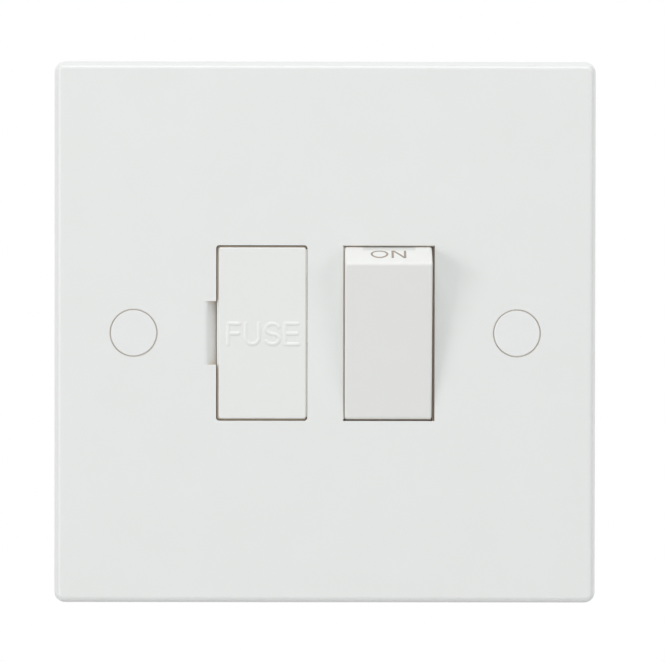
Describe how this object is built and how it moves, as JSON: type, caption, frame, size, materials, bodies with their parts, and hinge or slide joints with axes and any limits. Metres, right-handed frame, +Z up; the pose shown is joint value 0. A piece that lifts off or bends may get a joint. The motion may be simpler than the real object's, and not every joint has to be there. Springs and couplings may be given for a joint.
{
  "type": "fused spur unit",
  "caption": "Single-gang wall unit with a double-pole rocker switch and a pull-out fuse drawer, cable terminals behind and two capped fixing screws.",
  "frame": {"origin": "middle of the wall plane, between the two fixing screws", "axes": "+X to the right seen from the room, +Y into the wall, +Z up"},
  "size_m": [0.086, 0.0348, 0.086],
  "materials": {
    "urea_white": "moulded urea, fine satin gloss",
    "urea_white_drawer": "moulded urea, fine satin gloss",
    "polycarbonate_white": "moulded polycarbonate, satin gloss",
    "cap_white": "moulded polypropylene, satin",
    "phenolic_brown": "moulded phenolic, satin",
    "zinc_steel": "bright zinc plated",
    "brass_screws": "turned brass",
    "fuse_ceramic": "unglazed ceramic",
    "fuse_cap_nickel": "nickel plated brass",
    "spring_bronze": "phosphor bronze strip",
    "brass_strip": "rolled brass strip",
    "copper_strip": "rolled copper alloy strip",
    "silver_tips": "silver alloy rivet",
    "plunger_nylon": "natural nylon",
    "spring_steel": "music wire",
    "terminal_brass": "machined brass"
  },
  "bodies": {
    "base": {"front_plate": "urea_white", "rear_housing": "phenolic_brown", "housing_screws": "zinc_steel", "fixing_screws": "zinc_steel", "terminal_screws": "brass_screws", "fuse_clip_top": "spring_bronze", "fuse_clip_bottom": "spring_bronze", "earth_link": "brass_strip", "fixed_tip_live": "silver_tips", "fixed_contact_live": "brass_strip", "fulcrum_bracket_live": "brass_strip", "fixed_tip_neutral": "silver_tips", "fixed_contact_neutral": "brass_strip", "fulcrum_bracket_neutral": "brass_strip", "terminal_earth_left": "terminal_brass", "terminal_earth_right": "terminal_brass", "terminal_load_neutral": "terminal_brass", "terminal_load_live": "terminal_brass", "terminal_supply_live": "terminal_brass", "terminal_supply_neutral": "terminal_brass"},
    "rocker": {"rocker": "polycarbonate_white", "plunger_spring_live": "spring_steel", "plunger_spring_neutral": "spring_steel"},
    "plunger_live": {"plunger_live": "plunger_nylon"},
    "plunger_neutral": {"plunger_neutral": "plunger_nylon"},
    "arm_live": {"contact_arm_live": "copper_strip", "arm_tip_live": "silver_tips"},
    "arm_neutral": {"contact_arm_neutral": "copper_strip", "arm_tip_neutral": "silver_tips"},
    "fuse_drawer": {"fuse_drawer": "urea_white_drawer", "fuse_body": "fuse_ceramic", "fuse_cap_top": "fuse_cap_nickel", "fuse_cap_bottom": "fuse_cap_nickel"},
    "cap_left": {"screw_cap_left": "cap_white"},
    "cap_right": {"screw_cap_right": "cap_white"}
  },
  "joints": [
    {"name": "rocker_tilt", "type": "hinge", "parent": "base", "child": "rocker", "pos_m": [0.01, -0.0051, 0], "axis": [1, 0, 0], "range_deg": [-22, 0]},
    {"name": "fuse_drawer_slide", "type": "slide", "parent": "base", "child": "fuse_drawer", "axis": [0, -1, 0], "range_m": [0, 0.015]},
    {"name": "cap_left_pull", "type": "slide", "parent": "base", "child": "cap_left", "axis": [0, -1, 0], "range_m": [0, 0.012]},
    {"name": "cap_right_pull", "type": "slide", "parent": "base", "child": "cap_right", "axis": [0, -1, 0], "range_m": [0, 0.012]},
    {"name": "arm_live_rock", "type": "hinge", "parent": "base", "child": "arm_live", "pos_m": [0.0065, 0.00791, 0], "axis": [1, 0, 0], "range_deg": [0, 18]},
    {"name": "plunger_live_slide", "type": "slide", "parent": "rocker", "child": "plunger_live", "axis": [0, -0.9816, -0.1908], "range_m": [0, 0.0006], "stiffness_N_per_m": 1200, "deforming": ["plunger_spring_live"]},
    {"name": "arm_neutral_rock", "type": "hinge", "parent": "base", "child": "arm_neutral", "pos_m": [0.0135, 0.00791, 0], "axis": [1, 0, 0], "range_deg": [0, 18]},
    {"name": "plunger_neutral_slide", "type": "slide", "parent": "rocker", "child": "plunger_neutral", "axis": [0, -0.9816, -0.1908], "range_m": [0, 0.0006], "stiffness_N_per_m": 1200, "deforming": ["plunger_spring_neutral"]}
  ],
  "couplings": [
    {"joint": "arm_live_rock", "follows": "rocker_tilt", "ratio": -0.81818},
    {"joint": "arm_neutral_rock", "follows": "rocker_tilt", "ratio": -0.81818}
  ]
}
